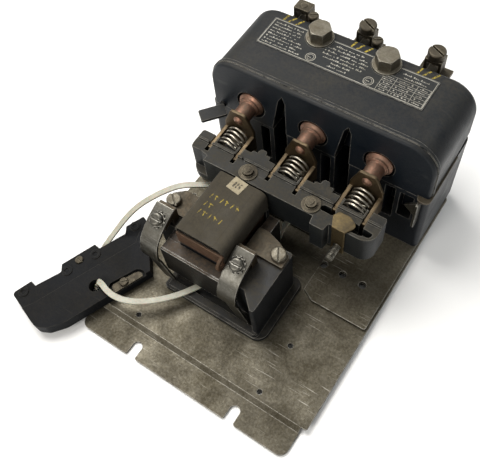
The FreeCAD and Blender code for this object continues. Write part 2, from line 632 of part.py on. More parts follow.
plunger_y = coil_front + 2
stop_y = coil_back - 13
armature_back = stop_y - size("stroke") - 0.1
armature = new_body("armature")
grow(armature, "XZ_Plane", plunger_y, armature_back - plunger_y,
     [ring(coil_mid, core_z, size("core_r") - size("run_gap"))])
fixed_pole = new_body("fixed_pole")
grow(fixed_pole, "XZ_Plane", stop_y, coil_back - 0.2 - stop_y,
     [ring(coil_mid, core_z, size("core_r")), ring(coil_mid, core_z, size("rod_r") + 0.3)])

push_rod = new_body("push_rod")
grow(push_rod, "XZ_Plane", armature_back, -2 - armature_back, [ring(coil_mid, core_z, size("rod_r"))])
grow(push_rod, "XZ_Plane", -6.5, 6, [rect(coil_mid - 5, core_z - 4, coil_mid + 5, bar_low, 0.8)])

tag = new_body("coil_tag")
grow(tag, "XY_Plane", 0, 0.3, [rect(-5.6, -5.2, 5.6, 5.2, 0.4)])
tag.Placement = Placement(Vector(-24.5, -13.3, top), Rotation(Vector(0, 0, 1), -8))

# a flat copper lead across the front of the coil, ending in an eye
lead = Part.makeBox(right - left - 1.5, 1.5, 12, Vector(left + 1.5, coil_front - 1.9, 61))
eye = Part.makeCylinder(6.4, 2, Vector(right - 1.6, coil_front - 1.5, 66), Vector(1, 0, 0))
eye = eye.cut(Part.makeCylinder(3.6, 8, Vector(right - 4, coil_front - 1.5, 66), Vector(1, 0, 0)))
eye = eye.common(Part.makeBox(8, 20, 20, Vector(right - 4, coil_front - 20.4, 56)))
feature("coil_lead", lead.fuse(eye).removeSplitter())

yoke_left, yoke_right = size("yoke_left"), size("yoke_right")
yoke_front, yoke_back = size("yoke_front"), size("yoke_back")
yoke_low, yoke_top = size("yoke_low"), size("yoke_top")
front_yoke = new_body("front_yoke")
grow(front_yoke, "XZ_Plane", yoke_front, yoke_back - yoke_front,
     [rect(yoke_left, yoke_low, yoke_right, yoke_top, 0.8)])
grow(front_yoke, "XY_Plane", yoke_top - 0.5, 1.5,
     [rect(yoke_left + 0.8, yoke_front + 1.4, yoke_right - 0.8, yoke_back - 0.2)])
core_sides = new_body("core_sides")
grow(core_sides, "XY_Plane", yoke_low, yoke_top - yoke_low,
     [rect(yoke_left, yoke_back, left - 0.9, coil_back),
      rect(right + 0.9, yoke_back, yoke_right + 3, coil_back)])

# ---------------------------------------------------------------- housing

house_left, house_right = size("house_left"), size("house_right")
house_front, house_back = size("house_front"), size("house_back")
house_top = size("house_top")
out = size("foot_out")
floor_z = plate_top + size("foot_thick")
wall_high = house_top - floor_z
block_x = yoke_right + 3.3

housing = new_body("magnet_housing")
grow(housing, "XY_Plane", plate_top, "sizes.foot_thick",
     [loop([(house_left + 22, house_front - 3, 3), (house_right + out, house_front - 3, 9),
            (house_right + out, house_back + 4, 6), (house_left + 2, house_back + 4, 3),
            (house_left + 2, house_front + 20, 3), (house_left + 22, house_front + 12)])])
grow(housing, "XY_Plane", floor_z, "sizes.floor_thick",
     [loop([(house_left + 26, house_front - 2.4, 2), (house_right - 0.2, house_front - 2.4, 3),
            (house_right - 0.2, house_back - 0.2, 2), (house_left + 5.2, house_back - 0.2, 2),
            (house_left + 5.2, house_front + 24, 2), (house_left + 26, house_front + 14)])])
grow(housing, "XY_Plane", floor_z, wall_high,
     [loop([(block_x, house_front + 10), (14, house_front + 10), (house_right - 3, house_front, 0.5),
            (house_right, house_front, 1.5), (house_right, house_back, 2), (block_x, house_back)])])
grow(housing, "XY_Plane", floor_z, wall_high,
     [loop([(house_left + 5, house_front + 24), (yoke_left - 0.3, house_front + 24),
            (yoke_left - 0.3, house_back), (house_left + 5, house_back, 2)])])
grow(housing, "XY_Plane", floor_z, size("lip_top") - floor_z,
     [rect(house_left + 26.5, house_front - 2.2, house_right - 1, house_front + 3, 1)])
# ledges that carry the core
grow(housing, "XY_Plane", floor_z, yoke_low - floor_z,
     [rect(yoke_left - 1.3, -51.5, yoke_left + 5, house_back - 0.5),
      rect(yoke_right - 2, -65, block_x + 1, house_back - 0.5)])

core_plates = new_body("core_plates")
grow(core_plates, "XY_Plane", house_top, "sizes.core_plate_thick",
     [loop([(right + 1.6, -41), (12.5, -41), (house_right - 0.3, -41, 1), (house_right - 0.3, -31, 2),
            (15.5, -25.4, 8), (5, -22.2, 3), (right + 1.6, -22.2)]),
      loop([(house_left + 5, -43.4), (left - 1.6, -43.4), (left - 1.6, -24), (house_left + 12, -24, 3),
            (house_left + 5, -30, 3)])])
plate_screw = slotted_head(5.4, 4, 1.2, 1.8, 0.5)
screw_z = house_top + size("core_plate_thick")
feature("core_plate_screws", Part.makeCompound(
    [placed(plate_screw, 20.8, -34.4, screw_z, -60), placed(plate_screw, -65.4, -36, screw_z, -40)]))

# ---------------------------------------------------------------- strap clips

STRAP_LINE = [(-47, 68.3), (-56, 64.9), (-65.4, 59.4), (-71.8, 52.2), (-74.2, 45), (-74.8, 39), (-73.6, 33.5)]
strap_thick = size("strap_thick")
strap_curve = Part.BSplineCurve()
strap_curve.interpolate([Vector(0, y, z) for y, z in STRAP_LINE])


def strap_point(y, depth):
    """Point at one y on the strap's outside, moved in by a depth, and the tilt of its face."""
    low, high = strap_curve.FirstParameter, strap_curve.LastParameter
    for _ in range(40):
        middle = (low + high) / 2
        if strap_curve.value(middle).y > y:
            low = middle
        else:
            high = middle
    along = strap_curve.tangent(low)[0]
    inward = Vector(0, -along.z, along.y).normalize()
    return strap_curve.value(low) + inward * depth, math.degrees(math.atan2(along.z, along.y)) + 180


def strap(centre, shift, low, hole):
    """A sprung steel strap: a curved band with a narrow slanting tongue below it."""
    half = size("strap_wide") / 2
    inside = []
    steps = 14
    for i in range(steps + 1):
        t = strap_curve.FirstParameter
        t += (strap_curve.LastParameter - t) * i / steps
        along = strap_curve.tangent(t)[0]
        inside.append(strap_curve.value(t) + Vector(0, -along.z, along.y).normalize() * strap_thick)
    inner = Part.BSplineCurve()
    inner.interpolate(inside)
    ends = [Part.makeLine(strap_curve.StartPoint, inner.StartPoint),
            Part.makeLine(strap_curve.EndPoint, inner.EndPoint)]
    wire = Part.Wire(Part.__sortEdges__([strap_curve.toShape(), inner.toShape()] + ends))
    band = Part.Face(wire).extrude(Vector(2 * half, 0, 0))
    band.translate(Vector(centre - half, 0, 0))
    y = STRAP_LINE[-1][0]
    corners = [(centre - half + 4, 35), (centre + half, 35), (centre + shift + 4.5, low),
               (centre + shift - 4.5, low), (centre - half + 4, 35)]
    tongue = Part.Face(Part.makePolygon([Vector(px, y, pz) for px, pz in corners]))
    tongue = tongue.extrude(Vector(0, strap_thick, 0))
    return band.fuse(tongue).removeSplitter().cut(hole)


def bracket(left_x, right_x, hole):
    """A block on the housing that backs one strap and takes its screw."""
    gap = strap_thick + 0.1
    under = [strap_point(y, gap)[0] for y in (-48.5, -51.5, -54.5, -57.5, -60)]
    last = under[-1]
    points = [Vector(0, -44, under[0].z)] + under
    points += [Vector(0, last.y, last.z - 4.5), Vector(0, -50, last.z - 1.5), Vector(0, -50, house_top),
               Vector(0, -44, house_top), Vector(0, -44, under[0].z)]
    block = Part.Face(Part.makePolygon(points)).extrude(Vector(right_x - left_x, 0, 0))
    block.translate(Vector(left_x, 0, 0))
    return block.cut(hole)


def toothed_washer():
    """A thin ring with twelve small teeth, its top face at the origin."""
    lock = Part.makeCylinder(5.2, 0.9, Vector(0, 0, -0.9))
    for step in range(12):
        tooth = Part.makeBox(1.7, 1.1, 0.9, Vector(4.6, -0.55, -0.9))
        lock = lock.fuse(placed(tooth, 0, 0, 0, step * 30))
    return lock.cut(Part.makeCylinder(2.6, 3, Vector(0, 0, -2)))


seat, tilt = strap_point(-57.4, 0)
brackets, clip_screws, clip_washers = [], [], []
for side, x, shift, low, block_span in (("right", size("strap_right_x"), 11, 15.2, (-3.2, 10)),
                                        ("left", size("strap_left_x"), 12, 15, (-69, -55.5))):
    hole = placed(Part.makeCylinder(2.6, 30, Vector(0, 0, -15)), x, seat.y, seat.z, 0, tilt)
    feature("strap_clip_" + side, strap(x, shift, low, hole))
    bore = placed(Part.makeCylinder(2.25, 30, Vector(0, 0, -15)), x, seat.y, seat.z, 0, tilt)
    brackets.append(bracket(block_span[0], block_span[1], bore))
    clip_washers.append(placed(toothed_washer(), x, seat.y, seat.z, 0, tilt))
    head = slotted_head(4.9, 3.6, 1.1, 1.4, 1.5)
    head = head.fuse(Part.makeCylinder(2.2, 7, Vector(0, 0, -7)))
    clip_screws.append(placed(head, x, seat.y, seat.z, 0, tilt))
outward = Vector(0, -math.sin(math.radians(tilt)), math.cos(math.radians(tilt)))
lift_off = Placement(outward * 0.95, Rotation())
for label, pieces in (("clip_screws", clip_screws), ("clip_lock_washers", clip_washers)):
    feature(label, Part.makeCompound(pieces)).Placement = lift_off
feature("clip_brackets", Part.makeCompound(brackets))

# ---------------------------------------------------------------- loose bar

wide, long_, deep = size("loose_wide"), size("loose_long"), size("loose_thick")
step_top = deep - size("loose_step")
tilted = Rotation(Vector(0, 1, 0), size("loose_tilt")).multiply(Rotation(Vector(0, 0, 1), size("loose_yaw")))
loose_at = Placement(Vector(size("loose_x"), size("loose_y"), size("loose_z")), tilted)
loose_bar = new_body("loose_bar")
grow(loose_bar, "XY_Plane", 0, "sizes.loose_thick",
     [loop([(0, 0, 3), (38.4, 5, 9), (44.6, 12, 6), (wide, 24.5, 14), (wide, 96), (8.5, long_, 1),
            (0, long_, 1.5), (0, 98.4, 1), (5.6, 95.2, 2), (5.2, 72.4, 1), (-0.4, 71, 1), (0, 42.1, 1),
            (6, 39, 2), (4.8, 17.4, 1), (-0.8, 16.5, 1)])])
cut(loose_bar, "XY_Plane", step_top, 4,
    [loop([(-3, -3), (17, -3), (size("loose_ledge"), 12), (size("loose_ledge"), 98), (13, 104),
           (13, long_ + 3), (-3, long_ + 3)])])
HOLE = (34.6, 56.5)
cut(loose_bar, "XY_Plane", -1, 20, [ring(HOLE[0], HOLE[1], 5.1)])
cut(loose_bar, "XY_Plane", deep - 3, 4, [loop([(39.5, 64, 4), (wide + 2, 64), (wide + 2, 92), (41, 92, 6)])])
for x, y in ((4.6, 8), (8.2, 43.3), (8.4, 67.6), (4.4, 104.4)):
    grow(loose_bar, "XY_Plane", step_top - 0.1, 1.1, [ring(x, y, 4.1), ring(x, y, 2.2)])
loose_bar.Placement = loose_at

insert = new_body("loose_bar_insert")
grow(insert, "XY_Plane", deep - 3, 1.2,
     [loop([(40.5, 66, 3), (wide - 0.6, 66, 1), (wide - 0.6, 90, 1), (42, 90, 4)])])
insert.Placement = loose_at
loose_screws = feature("loose_bar_screws", Part.makeCompound(
    [placed(slotted_head(3.4, 2, 0.9, 0.9, 0.4), 44.2, 75.6, deep - 1.8, 60),
     placed(slotted_head(3.2, 1.6, 0.8, 0.7, 0.3), 5.2, 55, step_top, 20)]))
loose_screws.Placement = loose_at

# ---------------------------------------------------------------- cable tie

# The tie is a closed loop: up through the bar's hole, across the plate, under the front yoke
# and the coil, up behind the coil, back over the plate's left edge and in under the bar.
TIE_LINE = [(-95.4, -106.4, 9.5), (-94.6, -105.3, 13.6), (-92.4, -104.9, 17), (-88.6, -105.5, 18.9),
            (-84.2, -106.9, 19.5), (-73.9, -108.3, 20), (-61.7, -105.1, 19.3), (-51, -97.9, 18.2),
            (-44.9, -92.2, 17.4), (-35.2, -81, 16.9), (-27.8, -69.1, 16.5), (-20, -54, 16.5),
            (-12.5, -38, 16.6), (-7, -24, 17), (-2.4, -12.5, 17.6), (1.6, -6.2, 20.6),
            (3.7, -4.6, 27.5), (4.9, -3.8, 35), (7, -0.6, 40.5), (8.6, 5, 42.8), (4.5, 11.2, 43.6), (-6, 13.4, 44),
            (-22, 13, 44.4),
            (-40, 6.5, 44.5), (-59, -6.7, 43.8), (-77, -17.7, 42.5), (-87.6, -29.3, 39.6), (-98.1, -42.4, 33),
            (-105.4, -54, 24), (-111, -65, 13.5), (-115, -74.6, 4.6), (-114.6, -82.4, 1.2),
            (-109.6, -91, 1), (-104, -99, 1.2), (-99.4, -104.6, 2.2), (-96.9, -106.8, 4.8), (-96, -107, 7.6)]


def strap_loop(line, wide, thick, sections):
    """A flat band along a smooth curve, its width kept level all the way."""
    curve = Part.BSplineCurve()
    curve.interpolate([Vector(*point) for point in line])
    first, last = curve.FirstParameter, curve.LastParameter
    wires = []
    for i in range(sections + 1):
        t = first + (last - first) * i / sections
        here = curve.value(t)
        along = curve.tangent(t)[0]
        side = Vector(0, 0, 1).cross(along).normalize()
        face = along.cross(side)
        corners = [here + side * (a * wide / 2) + face * (b * thick / 2)
                   for a, b in ((1, 1), (-1, 1), (-1, -1), (1, -1), (1, 1))]
        wires.append(Part.makePolygon(corners))
    return Part.makeLoft(wires, True, False)


feature("cable_tie", strap_loop(TIE_LINE, size("tie_wide"), size("tie_thick"), 90))

# ---------------------------------------------------------------- write the parts

doc.recompute()
written = []
for obj in doc.Objects:
    if obj.TypeId not in ("PartDesign::Body", "Part::Feature"):
        continue
    if "Invalid" in obj.State or "Error" in obj.State:
        raise ValueError(obj.Label + " is in state " + str(obj.State))
    shape = obj.Shape
    if shape.isNull() or not shape.isValid():
        raise ValueError(obj.Label + " has no valid shape")
    shape.exportStep("parts/%s.step" % obj.Label)
    box = shape.BoundBox
    written.append(obj.Label)
    print("%-22s solids %2d  X %7.1f %7.1f  Y %7.1f %7.1f  Z %6.1f %6.1f" % (
        obj.Label, len(shape.Solids), box.XMin, box.XMax, box.YMin, box.YMax, box.ZMin, box.ZMax))
print(len(written), "pieces")
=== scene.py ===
# %% [markdown]
# # A worn magnetic motor starter
# The starter is built in CAD as separate parts, and this lesson gives it its looks: a camera, studio
# light, a finish for every part, and the printed and painted details that CAD leaves out.
# The parts come in as a fixed frame, in metres, and nothing here moves or reshapes them.

# %% Load the frame
import math
import random

import bmesh
import bpy
from mathutils import Matrix, Vector


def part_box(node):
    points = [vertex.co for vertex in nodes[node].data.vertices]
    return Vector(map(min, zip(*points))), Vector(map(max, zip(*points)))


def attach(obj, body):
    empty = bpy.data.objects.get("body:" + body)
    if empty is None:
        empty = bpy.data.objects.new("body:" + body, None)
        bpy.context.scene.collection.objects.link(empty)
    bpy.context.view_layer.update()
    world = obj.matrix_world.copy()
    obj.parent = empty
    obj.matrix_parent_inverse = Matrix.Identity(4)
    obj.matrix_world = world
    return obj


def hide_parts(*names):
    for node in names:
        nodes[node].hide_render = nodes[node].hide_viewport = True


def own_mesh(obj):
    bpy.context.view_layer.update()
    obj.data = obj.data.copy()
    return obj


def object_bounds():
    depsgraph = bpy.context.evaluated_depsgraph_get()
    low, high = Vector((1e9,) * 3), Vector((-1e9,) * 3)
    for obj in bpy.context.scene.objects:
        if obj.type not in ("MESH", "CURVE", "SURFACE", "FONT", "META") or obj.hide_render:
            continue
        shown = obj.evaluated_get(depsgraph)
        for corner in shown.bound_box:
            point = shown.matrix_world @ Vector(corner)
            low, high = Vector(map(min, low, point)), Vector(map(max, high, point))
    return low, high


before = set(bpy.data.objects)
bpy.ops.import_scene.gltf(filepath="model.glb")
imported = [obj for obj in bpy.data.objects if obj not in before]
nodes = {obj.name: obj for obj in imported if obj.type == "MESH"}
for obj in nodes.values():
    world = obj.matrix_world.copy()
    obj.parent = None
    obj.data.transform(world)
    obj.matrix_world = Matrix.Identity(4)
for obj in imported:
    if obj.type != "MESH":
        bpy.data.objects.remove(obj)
cad_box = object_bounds()

# %% [markdown]
# ## Camera
# The starter lies on its back and is seen from above its front right corner. A camera is placed by
# where it stands, which way it looks and which way is up, and those three make its rotation matrix.

# %% Camera
STAND = Vector((0.13990, -0.19485, 0.43974))
LOOK = Vector((-0.341894, 0.366338, -0.865393))
UP = Vector((-0.450221, 0.744468, 0.493019))
SENSOR_MM, LENS_MM = 36.0, 48.91
NEAREST = 0.01
camera_data = bpy.data.cameras.new("camera")
camera_data.sensor_width = SENSOR_MM
camera_data.lens = LENS_MM
camera_data.clip_start = NEAREST
camera = bpy.data.objects.new("camera", camera_data)
camera.matrix_world = Matrix((LOOK.cross(UP), UP, -LOOK)).transposed().to_4x4()
camera.matrix_world.translation = STAND
bpy.context.scene.collection.objects.link(camera)
bpy.context.scene.camera = camera
print("camera", tuple(round(value, 3) for value in camera.location))

# %% [markdown]
# ## Light and floor
# A dark, oily object needs big soft lamps. The large one, high on the left, gives the long sheen on
# the black moulding. A weaker one in front opens the shadows, and a small cool one behind draws the
# far edges. The floor is a pale sheet, made as one grid face far wider than the view.

# %% Light and floor
AIM = Vector((-0.01, 0.0, 0.04))
WORLD_STRENGTH = 0.3
FLOOR_HALF_WIDTH, FLOOR_GAP = 3.0, 0.0002


def lamp(name, place, width, watts, tint):
    """A square soft lamp that faces the object."""
    data = bpy.data.lights.new(name, "AREA")
    data.shape = "SQUARE"
    data.size = width
    data.energy = watts
    data.color = tint
    obj = bpy.data.objects.new(name, data)
    turn = (AIM - Vector(place)).to_track_quat("-Z", "Y")
    obj.matrix_world = Matrix.Translation(place) @ turn.to_matrix().to_4x4()
    bpy.context.scene.collection.objects.link(obj)


lamp("lamp_top", (-0.45, 0.15, 0.95), width=0.6, watts=13.0, tint=(1.0, 0.98, 0.95))
lamp("lamp_front", (-0.15, -0.9, 0.6), width=0.4, watts=5.5, tint=(1.0, 0.97, 0.93))
lamp("lamp_back", (0.35, 0.8, 0.6), width=0.4, watts=2.4, tint=(0.93, 0.97, 1.0))
world = bpy.data.worlds.new("studio")
world.use_nodes = True
background = world.node_tree.nodes["Background"].inputs
background["Color"].default_value = (1.0, 0.99, 0.97, 1)
background["Strength"].default_value = WORLD_STRENGTH
bpy.context.scene.world = world
bpy.context.scene.view_settings.view_transform = "Standard"

floor_mesh = bmesh.new()
bmesh.ops.create_grid(floor_mesh, x_segments=1, y_segments=1, size=FLOOR_HALF_WIDTH)
floor_data = bpy.data.meshes.new("floor")
floor_mesh.to_mesh(floor_data)
floor_mesh.free()
floor = bpy.data.objects.new("floor", floor_data)
bpy.context.scene.collection.objects.link(floor)
floor.location.z = cad_box[0][2] - FLOOR_GAP
sheet = bpy.data.materials.new("floor_sheet")
sheet.use_nodes = True
sheet_inputs = sheet.node_tree.nodes["Principled BSDF"].inputs
sheet_inputs["Base Color"].default_value = (0.9, 0.9, 0.89, 1)
sheet_inputs["Roughness"].default_value = 0.8
floor_data.materials.append(sheet)
print("lamps and floor placed")

# %% [markdown]
# ## Tools for writing materials
# Materials are node graphs. These few helpers add a node, link it and set its values in one line,
# so that each recipe below reads as a list of what it does. Where a value is wanted, a number, a
# colour or another node's output will do.

# %% Node helpers


def feed(tree, socket, value):
    """Links a node's output to a socket, or sets the socket to a plain value."""
    if isinstance(value, bpy.types.NodeSocket):
        tree.links.new(value, socket)
    else:
        socket.default_value = value


def node(tree, kind, **values):
    """Adds a shader node. Small letters set its options, i0, i1... and capitals its sockets."""
    made = tree.nodes.new("ShaderNode" + kind)
    for key, value in values.items():
        if hasattr(made, key) and not key[0].isupper():
            setattr(made, key, value)
        elif key[0] == "i" and key[1:].isdigit():
            feed(tree, made.inputs[int(key[1:])], value)
        else:
            feed(tree, made.inputs[key.replace("_", " ")], value)
    return made


def sums(tree, operation, a, b=0.0, clamp=False):
    """A Math node of two values."""
    return node(tree, "Math", operation=operation, use_clamp=clamp, i0=a, i1=b).outputs[0]


def span(tree, value, low, high, to_low=0.0, to_high=1.0):
    """Maps a value from low..high to to_low..to_high, held inside that range."""
    return node(tree, "MapRange", i0=value, i1=low, i2=high, i3=to_low, i4=to_high).outputs[0]


def blend_colours(tree, mask, below, above):
    """Colour above laid over colour below where mask is 1. Sockets 0, 6 and 7 are the colour ones."""
    return node(tree, "Mix", data_type="RGBA", i0=mask, i6=below, i7=above).outputs[2]


def new_group(name, inputs, outputs):
    """An empty node group with named sockets, and its inside input and output nodes."""
    tree = bpy.data.node_groups.new(name, "ShaderNodeTree")
    for label, kind, value in inputs:
        socket = tree.interface.new_socket(name=label, in_out="INPUT", socket_type="NodeSocket" + kind)
        socket.default_value = value
    for label, kind in outputs:
        tree.interface.new_socket(name=label, in_out="OUTPUT", socket_type="NodeSocket" + kind)
    return tree, tree.nodes.new("NodeGroupInput").outputs, tree.nodes.new("NodeGroupOutput").inputs


def place_group(tree, group, **values):
    """Puts a node group into a tree with its own values."""
    made = tree.nodes.new("ShaderNodeGroup")
    made.node_tree = group
    for key, value in values.items():
        feed(tree, made.inputs[key.replace("_", " ")], value)
    return made.outputs


def noise(tree, place, scale, detail, roughness=0.5, distortion=0.0):
    """Cloudy noise between 0 and 1. A scale of 500 gives specks about two millimetres apart."""
    return node(tree, "TexNoise", Vector=place, Scale=scale, Detail=detail, Roughness=roughness,
                Distortion=distortion).outputs["Fac"]


def here_on(tree):
    """The place on the object, in metres."""
    return node(tree, "TexCoord").outputs["Object"]


def rgb(red, green, blue):
    """An opaque colour."""
    return (red, green, blue, 1.0)


print("node helpers ready")

# %% [markdown]
# ## Dust
# Years in a cabinet leave brown dust on every face that looks up. How far a face looks up is the Z
# of its normal, so that value, broken up by two sizes of noise, is a mask that any finish can use.

# %% Dust group
STEEP, LEVEL = 0.35, 0.97
dust, seen, given = new_group(
    "settled_dust", [("Amount", "Float", 0.6), ("Patch", "Float", 40.0)], [("Mask", "Float")])
normal_z = node(dust, "SeparateXYZ", Vector=node(dust, "NewGeometry").outputs["Normal"]).outputs["Z"]
place = here_on(dust)
clouds = noise(dust, place, seen["Patch"], detail=6.0, roughness=0.65)
specks = noise(dust, place, 520.0, detail=4.0, roughness=0.7)
facing = span(dust, normal_z, STEEP, LEVEL)
cloudy = span(dust, clouds, 0.34, 0.66, 0.25, 1.0)
cover = sums(dust, "MULTIPLY", cloudy, span(dust, specks, 0.38, 0.62, 0.4, 1.25))
amount = sums(dust, "MULTIPLY", cover, seen["Amount"])
dust.links.new(sums(dust, "MULTIPLY", facing, amount, clamp=True), given["Mask"])
print("dust group:", len(dust.nodes), "nodes")

# %% [markdown]
# ## Worn edges and painted edge highlights
# Handling rubs the corners bright, and the same pale edge colour is also a painted highlight, the line
# of light that a rounded edge catches, laid on inner corners too. The Bevel node gives the normal that
# a rounded edge would have, and where it differs from the true normal there is an edge: the dot
# product of the two falls below one. The same node softens sharp CAD edges in the light, so its
# normal goes out too.

# %% Edge group
FLAT_DOT, CORNER_DOT = 0.99, 0.93
edges, seen, given = new_group(
    "worn_and_highlit_edges", [("Width", "Float", 0.0008), ("Amount", "Float", 0.7)],
    [("Mask", "Float"), ("Normal", "Vector")])
rounded = node(edges, "Bevel", samples=6, Radius=seen["Width"]).outputs["Normal"]
flat = node(edges, "NewGeometry").outputs["Normal"]
agree = node(edges, "VectorMath", operation="DOT_PRODUCT", i0=rounded, i1=flat).outputs["Value"]
edge_breakup = noise(edges, here_on(edges), 160.0, detail=5.0, roughness=0.7)
edge = span(edges, agree, FLAT_DOT, CORNER_DOT)
# This mask carries rubbed wear and painted edge highlight together, inner corners included.
worn = sums(edges, "MULTIPLY", edge, span(edges, edge_breakup, 0.34, 0.52))
edges.links.new(sums(edges, "MULTIPLY", worn, seen["Amount"], clamp=True), given["Mask"])
edges.links.new(rounded, given["Normal"])
print("edge group:", len(edges.nodes), "nodes")

# %% [markdown]
# ## Scratches
# A scratch is long and thin, so noise is stretched along one direction until it is all thin lines.
# Three turned copies cross each other, and a cloud mask keeps the scratches in patches.

# %% Scratch group
ALONG, ACROSS, THROUGH = 34.0, 800.0, 120.0
TURNS_AND_WIDTHS = ((0.4, 1.0), (2.5, 1.4), (1.25, 0.8))
scratches, seen, given = new_group(
    "scratches", [("Size", "Float", 1.0), ("Amount", "Float", 0.6)], [("Mask", "Float")])
place = here_on(scratches)
joined = None
for turn, stretch in TURNS_AND_WIDTHS:
    shape = node(scratches, "Mapping", Vector=place, Rotation=(0.3, 0.2, turn),
                 Scale=(ALONG, ACROSS * stretch, THROUGH)).outputs["Vector"]
    shape = node(scratches, "VectorMath", operation="SCALE", i0=shape, Scale=seen["Size"]).outputs["Vector"]
    lines = span(scratches, noise(scratches, shape, 1.0, detail=2.0), 0.67, 0.73)
    joined = lines if joined is None else sums(scratches, "MAXIMUM", joined, lines)
patches = noise(scratches, place, 28.0, detail=3.0)
kept = sums(scratches, "MULTIPLY", joined, span(scratches, patches, 0.5, 0.6))
scratches.links.new(sums(scratches, "MULTIPLY", kept, seen["Amount"], clamp=True), given["Mask"])
print("scratch group:", len(scratches.nodes), "nodes")

# %% [markdown]
# ## Grain
# No surface is one colour. This group gives a slow stain and a fine grain, between 0 and 1, which
# the finishes use for colour, roughness and tiny bumps.

# %% Grain group
grain, seen, given = new_group(
    "stain_and_grain", [("Stain size", "Float", 30.0), ("Grain size", "Float", 600.0)],
    [("Stain", "Float"), ("Grain", "Float")])
place = here_on(grain)
slow = noise(grain, place, seen["Stain size"], detail=5.0, roughness=0.6, distortion=0.6)
fine = noise(grain, place, seen["Grain size"], detail=4.0, roughness=0.7)
grain.links.new(span(grain, slow, 0.32, 0.68), given["Stain"])
grain.links.new(span(grain, fine, 0.36, 0.64), given["Grain"])
print("grain group:", len(grain.nodes), "nodes")

# %% [markdown]
# ## Painted strokes
# An inspector's marks in yellow crayon are strokes between two points. The group measures how far a
# place is from such a stroke, seen from above, and breaks the line up as crayon on dust does.

# %% Stroke group
FROM_ABOVE = (1.0, 1.0, 0.0)
stroke, seen, given = new_group(
    "crayon_stroke",
    [("From", "Vector", (0, 0, 0)), ("To", "Vector", (0, 0, 0)), ("Width", "Float", 0.0008)],
    [("Mask", "Float")])


def vectors(operation, a, b, output="Vector"):
    """A Vector Math node of two vectors inside the stroke group."""
    return node(stroke, "VectorMath", operation=operation, i0=a, i1=b).outputs[output]


place = here_on(stroke)
start = vectors("MULTIPLY", seen["From"], FROM_ABOVE)
along = vectors("SUBTRACT", vectors("MULTIPLY", seen["To"], FROM_ABOVE), start)
reach = vectors("SUBTRACT", vectors("MULTIPLY", place, FROM_ABOVE), start)
share = sums(stroke, "DIVIDE", vectors("DOT_PRODUCT", reach, along, "Value"),
             vectors("DOT_PRODUCT", along, along, "Value"), clamp=True)
nearest = node(stroke, "VectorMath", operation="SCALE", i0=along, Scale=share).outputs["Vector"]
away = vectors("DISTANCE", reach, nearest, "Value")
line = span(stroke, sums(stroke, "DIVIDE", away, seen["Width"]), 1.0, 0.6)
crumbs = span(stroke, noise(stroke, place, 900.0, detail=4.0), 0.4, 0.52)
stroke.links.new(sums(stroke, "MULTIPLY", line, crumbs), given["Mask"])
print("stroke group:", len(stroke.nodes), "nodes")

# %% [markdown]
# ## The finish recipe
# Every finish is laid up in the order it happened to the real part: its own colour with stains,
# then scratches, then rubbed edges that also carry a painted edge highlight, then dust on top. Dust
# also takes away shine and metal, so its mask is used three times.

# %% Finish recipe
METAL, NOT_METAL = 1, 0
DUST_BROWN = rgb(0.062, 0.053, 0.036)
SPECKLE = 0.45
DUST_DULLS, DULLEST = 0.5, 0.95
METAL_UNDER_DUST = 0.1
RELIEF_DEPTH = 0.0002


def finish(name, base, stained, rough, metal, dusty=0.6, dust_patch=40.0, dust_colour=DUST_BROWN,
           edge_amount=0.6, edge_colour=None, scratched=0.0, scratch_size=1.0, scratch_colour=None,
           stain_size=30.0, gloss=0.5, bump=0.15, extra=None):
    """A worn finish: rough is (smooth places, dull places), and extra adds a layer of its own."""
    material = bpy.data.materials.new(name)
    material.use_nodes = True
    tree = material.node_tree
    shader = tree.nodes["Principled BSDF"].inputs
    marks = place_group(tree, grain, Stain_size=stain_size)
    shader["Specular IOR Level"].default_value = gloss
    mottle = sums(tree, "ADD", sums(tree, "MULTIPLY", marks["Stain"], 1.0 - SPECKLE),
                  sums(tree, "MULTIPLY", marks["Grain"], SPECKLE))
    colour = blend_colours(tree, span(tree, mottle, 0.15, 0.85), rgb(*base), rgb(*stained))
    height = marks["Grain"]
    if extra:
        colour, height = extra(tree, colour, height)
    if scratched:
        cuts = place_group(tree, scratches, Size=scratch_size, Amount=scratched)["Mask"]
        colour = blend_colours(tree, cuts, colour, rgb(*(scratch_colour or base)))
        height = sums(tree, "SUBTRACT", height, cuts)
    # The edge colour is rubbed bare material and a painted highlight along edges, inner corners included.
    edge_wear_and_highlight = place_group(tree, edges, Amount=edge_amount)
    colour = blend_colours(tree, edge_wear_and_highlight["Mask"], colour, rgb(*(edge_colour or base)))
    film = place_group(tree, dust, Amount=dusty, Patch=dust_patch)["Mask"]
    tree.links.new(blend_colours(tree, film, colour, dust_colour), shader["Base Color"])
    shine = span(tree, marks["Stain"], 0.0, 1.0, *rough)
    dull = sums(tree, "ADD", shine, sums(tree, "MULTIPLY", film, DUST_DULLS))
    tree.links.new(sums(tree, "MINIMUM", dull, DULLEST), shader["Roughness"])
    if metal:
        tree.links.new(span(tree, film, 0.0, 1.0, 1.0, METAL_UNDER_DUST), shader["Metallic"])
    relief = node(tree, "Bump", Strength=bump, Distance=RELIEF_DEPTH, Height=height, Normal=edge_wear_and_highlight["Normal"])
    tree.links.new(relief.outputs["Normal"], shader["Normal"])
    return material


print("finish recipe ready")
